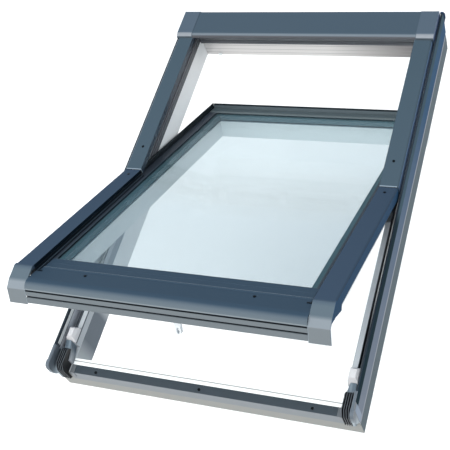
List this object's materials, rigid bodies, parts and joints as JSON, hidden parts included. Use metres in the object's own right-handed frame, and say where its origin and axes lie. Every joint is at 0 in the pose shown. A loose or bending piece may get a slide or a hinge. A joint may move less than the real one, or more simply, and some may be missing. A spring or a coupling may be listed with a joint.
{
  "type": "roof skylight window",
  "caption": "Centre-pivot roof skylight with white frame, slate metal covers, hood and a double-glazed sash standing open.",
  "frame": {"origin": "centre of the frame's outside, on its room-side plane", "axes": "+X right seen from outside, +Y up the slope, +Z outward, square to the roof plane"},
  "size_m": [0.781, 1.218, 0.6331],
  "materials": {
    "white_plastic": "satin white moulded and extruded plastic",
    "cladding_metal": "slate blue coated sheet",
    "corner_plastic": "slate grey moulding",
    "sill_metal": "dark grey coated sheet",
    "clip_metal": "grey coated sheet",
    "cover_metal": "slate grey coated sheet, satin",
    "cap_metal": "slate grey coated sheet, satin, slightly lighter",
    "black_rubber": "matte",
    "grey_rubber": "matte",
    "zinc_steel": "zinc plated",
    "dark_screw": "dark coated",
    "clear_glass": "clear, faint blue green",
    "spacer_metal": "mill finish",
    "block_plastic": "matte",
    "cream_plastic": "satin cream"
  },
  "bodies": {
    "frame": {"frame_sill": "white_plastic", "frame_head": "white_plastic", "frame_jamb_left": "white_plastic", "frame_jamb_right": "white_plastic", "jamb_cladding_left": "cladding_metal", "jamb_cladding_right": "cladding_metal", "corner_cap_left": "corner_plastic", "corner_cap_right": "corner_plastic", "corner_seal_left": "black_rubber", "corner_seal_right": "black_rubber", "corner_base_left": "corner_plastic", "corner_base_right": "corner_plastic", "corner_blocks": "corner_plastic", "guide_block_left": "white_plastic", "guide_block_right": "white_plastic", "sill_cover": "sill_metal", "sill_end_clips": "clip_metal", "sill_screws": "dark_screw", "channel_strip_left": "grey_rubber", "channel_strip_right": "grey_rubber", "stop_gasket": "grey_rubber", "upper_gasket": "grey_rubber", "head_gasket": "grey_rubber", "head_clip": "white_plastic", "lock_keeper": "zinc_steel", "hood_cover": "cover_metal", "hood_cap_left": "cap_metal", "hood_cap_right": "cap_metal", "hood_brackets": "zinc_steel", "upper_cover_left": "cover_metal", "upper_cover_right": "cover_metal", "upper_cover_brackets": "zinc_steel", "upper_cover_screws": "dark_screw", "hinge_track_left": "zinc_steel", "hinge_track_right": "zinc_steel", "hinge_screws": "zinc_steel"},
    "sash": {"sash_bottom_rail": "white_plastic", "sash_top_rail": "white_plastic", "sash_stile_left": "white_plastic", "sash_stile_right": "white_plastic", "outer_pane": "clear_glass", "inner_pane": "clear_glass", "spacer_bar": "spacer_metal", "edge_seal": "black_rubber", "inner_glazing_gasket": "black_rubber", "outer_glazing_gasket": "black_rubber", "setting_blocks": "block_plastic", "glazing_cover_top": "cover_metal", "glazing_cover_left": "cover_metal", "glazing_cover_right": "cover_metal", "perimeter_seal": "black_rubber", "cover_gaskets": "black_rubber", "lower_cover_left": "cover_metal", "lower_cover_right": "cover_metal", "lower_cover_clips": "zinc_steel", "bottom_cover": "cover_metal", "sash_screws": "dark_screw", "hinge_runners": "zinc_steel"},
    "handle": {"handle": "cream_plastic"},
    "lock_bolt": {"lock_bolt": "zinc_steel"}
  },
  "joints": [
    {"name": "sash_pivot", "type": "hinge", "parent": "frame", "child": "sash", "pos_m": [0, -0.012, 0.15], "axis": [-1, 0, 0], "range_deg": [-30.1, 119.9]},
    {"name": "handle_turn", "type": "hinge", "parent": "sash", "child": "handle", "pos_m": [0, -0.50511, 0.32026], "axis": [0, 0.5015, 0.8652], "range_deg": [0, 90]},
    {"name": "bolt_slide", "type": "slide", "parent": "sash", "child": "lock_bolt", "axis": [0, -0.8652, 0.5015], "range_m": [0, 0.012]}
  ],
  "couplings": [
    {"joint": "handle_turn", "follows": "bolt_slide", "rad_per_m": 130.9}
  ]
}
